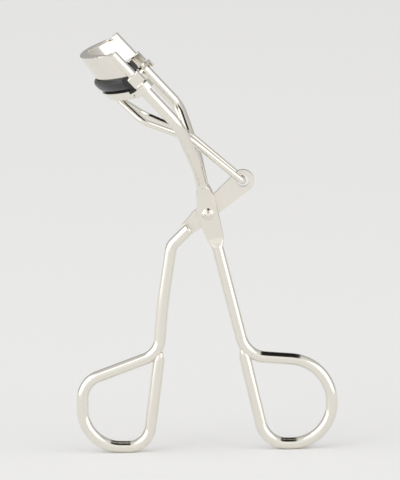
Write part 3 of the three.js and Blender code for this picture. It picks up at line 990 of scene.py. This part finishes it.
@dataclass
class LowerJawAssembly:
    """The sliding jaw: an arched channel with two slotted ears, and the pad in it."""

    planes: Planes
    width: float = 3.6
    height: float = 2.3
    inset: float = 0.25
    half_span: float = 11.5
    ear_radius: float = 2.6
    ear_skirt: float = 1.8
    pad_width: float = 3.7
    pad_top: float = 6.2
    pad_half_span: float = 11.9
    pad_root: float = 1.45

    @property
    def apex(self) -> float:
        """Place of the channel's middle at the apex."""
        return self.planes.sizes.jaw_depth - self.inset

    @property
    def end(self) -> float:
        """Place of the channel's middle at its ends."""
        c = self.planes.sizes
        return math.sqrt(c.jaw_radius**2 - self.half_span**2) - c.arc_drop - self.inset

    @property
    def radius(self) -> float:
        """Radius of the channel's middle line."""
        drop = self.apex - self.end
        return (self.half_span**2 + drop**2) / (2 * drop)

    @property
    def centre(self) -> float:
        """Place of the channel's centre of curvature."""
        return self.apex - self.radius

    @property
    def pad_half_angle(self) -> float:
        """Half of the pad's arc, in degrees."""
        return math.degrees(math.asin(self.pad_half_span / self.radius))

    def holder(self) -> bpy.types.Object:
        """Forms the channel and joins its two ears to it."""
        c = self.planes.sizes
        half, inner = self.width / 2, self.width / 2 - c.sheet
        profile = (
            (-half, 0.35),
            (-half + 0.12, 0.1),
            (-half + 0.38, 0.0),
            (half - 0.38, 0.0),
            (half - 0.12, 0.1),
            (half, 0.35),
            (half, self.height),
            (inner, self.height),
            (inner, c.sheet),
            (-inner, c.sheet),
            (-inner, self.height),
            (-half, self.height),
        )
        sweep = math.degrees(math.asin(self.half_span / self.radius))
        piece = spun_band("lower_jaw_holder", profile, self.centre, self.radius, sweep, 48)
        slope(piece, c.rise, c.holder_level)
        for side in (-1, 1):
            for part in self._ear(side):
                combine(piece, part, "UNION")
        for side in (-1, 1):
            hole = pin(c.handle_wire / 2 + 0.15, (side * c.half_span, 0), c.ear_top - 3, c.ear_top + 1)
            combine(piece, hole, "DIFFERENCE")
        room_width, room_angle = self.pad_width + 0.4, self.pad_half_angle + 1.5
        room = self._band("pad_room", room_width, room_angle, self.height, self.pad_top + 2)
        combine(piece, room, "DIFFERENCE")
        round_edges(piece, 0.1, 2, 50)
        return piece

    def _ear(self, side: int) -> list[bpy.types.Object]:
        """Returns an ear's flat tab and the skirt round its end."""
        c = self.planes.sizes
        y = side * c.half_span
        outward = 180 if side < 0 else 0
        tab = slot_outline((y, 0), (side * self.half_span, self.end - 0.7), self.ear_radius)
        skirt = [
            *arc((y, 0), self.ear_radius, outward - 100, outward + 100, 20),
            *arc((y, 0), self.ear_radius - c.sheet, outward + 100, outward - 100, 20),
        ]
        return [
            prism("ear_tab", tab, c.sheet, c.ear_top - c.sheet),
            prism("ear_skirt", skirt, self.ear_skirt, c.ear_top - self.ear_skirt),
        ]

    def _band(self, name: str, width: float, half_angle: float, low: float, high: float) -> bpy.types.Object:
        """Returns a plain sloped band of the channel's plan shape."""
        c = self.planes.sizes
        half = width / 2
        profile = ((-half, low), (half, low), (half, high), (-half, high))
        piece = spun_band(name, profile, self.centre, self.radius, half_angle, 40)
        slope(piece, c.rise, c.holder_level)
        return piece

    def pad(self) -> bpy.types.Object:
        """Moulds the pad: a rounded strip with a narrower root in the channel, its ends rounded too."""
        c = self.planes.sizes
        half = self.pad_width / 2
        root = self.width / 2 - c.sheet - 0.1
        shoulder = self.height + 0.12
        tall = (self.pad_top - shoulder) / 2
        middle = shoulder + tall
        bulge = []
        for k in range(25):
            angle = math.radians(-75 + 330 * k / 24)
            outward, upward = self._squared(math.cos(angle)), self._squared(math.sin(angle))
            bulge.append((half * outward, middle + tall * upward))
        profile = [(-root, self.pad_root), (root, self.pad_root), (root, shoulder), *bulge, (-root, shoulder)]
        piece = spun_band("lash_pad", profile, self.centre, self.radius, self.pad_half_angle, 56)
        slope(piece, c.rise, c.holder_level)
        round_edges(piece, 0.22, 3, 50)
        return piece

    @staticmethod
    def _squared(share: float) -> float:
        """Fills out a round section a little towards a square one."""
        return math.copysign(abs(share) ** 0.8, share)

    def build(self) -> list[bpy.types.Object]:
        """Makes and places the lower jaw's pieces."""
        head = self.planes.head()
        return [
            place(self.holder(), head, "lower_jaw_holder", Body.LOWER_JAW),
            place(self.pad(), head, "lash_pad", Body.LOWER_JAW),
        ]

    def dress(self, made: list[bpy.types.Object], wear: bpy.types.ShaderNodeTree) -> None:
        """Gives the lower jaw's pieces their finishes."""
        nickel = NickelPlate("holder_nickel", polish=0.12, smudge=0.35)
        finishes = (nickel.material(wear), PadRubber().material(wear))
        for piece, material in zip(made, finishes):
            give_finish(piece, material)


# ---- the yoke ----


@dataclass
class YokeAssembly:
    """One wire bent through the lever's hole, its two ends brazed together under the pad."""

    planes: Planes
    narrow: float = 4.0
    wide: float = 11.6
    rest: float = 0.15
    apex: float = 7.75
    half_pitch: float = 0.78
    shoulder: tuple[float, float] = (6.7, 28.0)  # where the arms are widest
    waist: tuple[float, float, float] = (3.4, 1.5, 17.0)

    def bow(self) -> bpy.types.Object:
        """Bends the wire: one stem, one arm, the bend in the hole, the other arm and the other stem."""
        c = self.planes.sizes
        at = self.planes.head_to_side
        under = c.holder_level + c.rise * self.apex
        hole = c.rod_offset - c.crank

        def half(side: int) -> list[Corner]:
            """Returns one half's corners, from the stem's foot to the hole."""
            return [
                Corner(at(side * self.half_pitch, self.apex, under - 1.5), 2.2),
                Corner(at(side * self.wide / 2, *self.shoulder), 4),
                Corner(at(side * self.waist[0], *self.waist[1:]), 8),
                Corner(at(side * self.narrow / 2, hole, self.rest), c.yoke_wire / 2 + 0.25),
            ]

        start = at(-self.half_pitch, self.apex, under + c.sheet + 0.25)
        finish = at(self.half_pitch, self.apex, under + c.sheet + 0.25)
        corners = [*half(-1), *reversed(half(1)), Corner(finish)]
        run = WireRun("yoke_wire", start, corners[0].at, c.yoke_wire, 24)
        run.follow(corners)
        return run.finish()

    def build(self) -> list[bpy.types.Object]:
        """Makes and places the yoke."""
        return [place(self.bow(), self.planes.side(), "yoke_wire", Body.YOKE)]

    def dress(self, made: list[bpy.types.Object], wear: bpy.types.ShaderNodeTree) -> None:
        """Gives the yoke its finish."""
        give_finish(made[0], NickelPlate("yoke_nickel", polish=0.11).material(wear))


# ---- the studio ----


@dataclass
class Studio:
    """The camera, a pale floor, two soft boxes and the black card that draws the metal's black lines."""

    azimuth: float = 0.3
    elevation: float = 10.3
    roll: float = 1.14
    distance: float = 2.445
    lens: float = 750.0
    aim: tuple[float, float, float] = (0.0, 0.0, 0.05)
    aim_right: float = -0.00098
    aim_up: float = 0.0021
    floor_size: float = 40.0
    front_light: float = 1.0
    back_light: float = 0.42

    def camera(self) -> None:
        """Sets up a long lens at the viewing angle."""
        azimuth, elevation = math.radians(self.azimuth), math.radians(self.elevation)
        back = Vector(
            (
                math.sin(azimuth) * math.cos(elevation),
                -math.cos(azimuth) * math.cos(elevation),
                math.sin(elevation),
            )
        )
        right = Vector((math.cos(azimuth), math.sin(azimuth), 0))
        up = back.cross(right)
        aim = Vector(self.aim) + right * self.aim_right + up * self.aim_up
        turned = Matrix.Rotation(math.radians(-self.roll), 3, back) @ Matrix((right, up, back)).transposed()
        lens = bpy.data.cameras.new("camera")
        lens.lens = self.lens
        lens.sensor_width = 36
        lens.clip_end = 20
        camera = bpy.data.objects.new("camera", lens)
        camera.matrix_world = Matrix.Translation(aim + back * self.distance) @ turned.to_4x4()
        bpy.context.scene.collection.objects.link(camera)
        bpy.context.scene.camera = camera

    def floor(self) -> None:
        """Lays a pale floor that reaches past every view of the curler."""
        clear_bench()
        bpy.ops.mesh.primitive_plane_add(size=self.floor_size)
        floor = bpy.context.object
        floor.name = "floor"
        floor.data.materials.append(self._plain("floor", 0.96, 0.7))

    @staticmethod
    def _plain(name: str, grey: float, roughness: float, specular: float = 0.5) -> bpy.types.Material:
        """Returns a plain grey material."""
        material = bpy.data.materials.new(name)
        material.use_nodes = True
        shader = material.node_tree.nodes["Principled BSDF"]
        shader.inputs["Base Color"].default_value = (grey, grey, grey, 1)
        shader.inputs["Roughness"].default_value = roughness
        shader.inputs["Specular IOR Level"].default_value = specular
        return material

    def light(self, name: str, place_at: Vector, size: float, power: float) -> None:
        """Hangs a soft box that faces the curler."""
        data = bpy.data.lights.new(name, "AREA")
        data.shape = "RECTANGLE"
        data.size = data.size_y = size
        data.energy = power
        lamp = bpy.data.objects.new(name, data)
        aim = Vector(self.aim)
        turn = (place_at - aim).to_track_quat("Z", "Y").to_matrix().to_4x4()
        lamp.matrix_world = Matrix.Translation(place_at) @ turn
        bpy.context.scene.collection.objects.link(lamp)

    def flag(self, name: str, low: Vector, high: Vector) -> None:
        """Hangs a level black card, between two corners, that only reflections see."""
        clear_bench()
        middle = (low + high) / 2
        bpy.ops.mesh.primitive_plane_add(size=1, location=middle)
        card = bpy.context.object
        card.name = name
        card.scale = (high.x - low.x, high.y - low.y, 1)
        card.data.materials.append(self._plain(name, 0.01, 1.0, 0.0))
        card.visible_camera = False
        card.visible_shadow = False
        card.visible_diffuse = False

    def world(self) -> None:
        """Fills the studio with a pale light that falls off behind the curler."""
        world = bpy.data.worlds.new("studio")
        world.use_nodes = True
        nodes, links = world.node_tree.nodes, world.node_tree.links
        place_on = nodes.new("ShaderNodeTexCoord")
        axes = nodes.new("ShaderNodeSeparateXYZ")
        fall = nodes.new("ShaderNodeMapRange")
        fall.inputs["From Min"].default_value = -1.0
        fall.inputs["From Max"].default_value = 1.0
        fall.inputs["To Min"].default_value = self.front_light
        fall.inputs["To Max"].default_value = self.back_light
        links.new(place_on.outputs["Generated"], axes.inputs["Vector"])
        links.new(axes.outputs["Y"], fall.inputs["Value"])
        links.new(fall.outputs["Result"], nodes["Background"].inputs["Strength"])
        nodes["Background"].inputs["Color"].default_value = (1.0, 0.995, 0.985, 1)
        bpy.context.scene.world = world
        bpy.context.scene.view_settings.view_transform = "Standard"

    def build(self) -> None:
        """Sets up the whole studio."""
        self.camera()
        self.world()
        self.floor()
        self.light("left_box", Vector((-1.5, -0.7, 0.7)), 2.4, 17.0)
        self.light("right_box", Vector((1.6, -0.9, 0.6)), 2.0, 10.0)
        self.flag("ceiling", Vector((-0.15, -1.28, 1.05)), Vector((0.38, 1.38, 1.05)))


def main() -> None:
    """Builds the studio and the curler."""
    logging.basicConfig(level=logging.INFO, format="%(name)s: %(message)s")
    Studio().build()
    planes = Planes.from_joints(Common(), frame["joints"])
    wear = wear_group()
    for assembly in (
        FrameAssembly(planes),
        LeverAssembly(planes),
        LowerJawAssembly(planes),
        YokeAssembly(planes),
    ):
        assembly.dress(assembly.build(), wear)
    clear_bench()


if __name__ == "__main__":
    main()
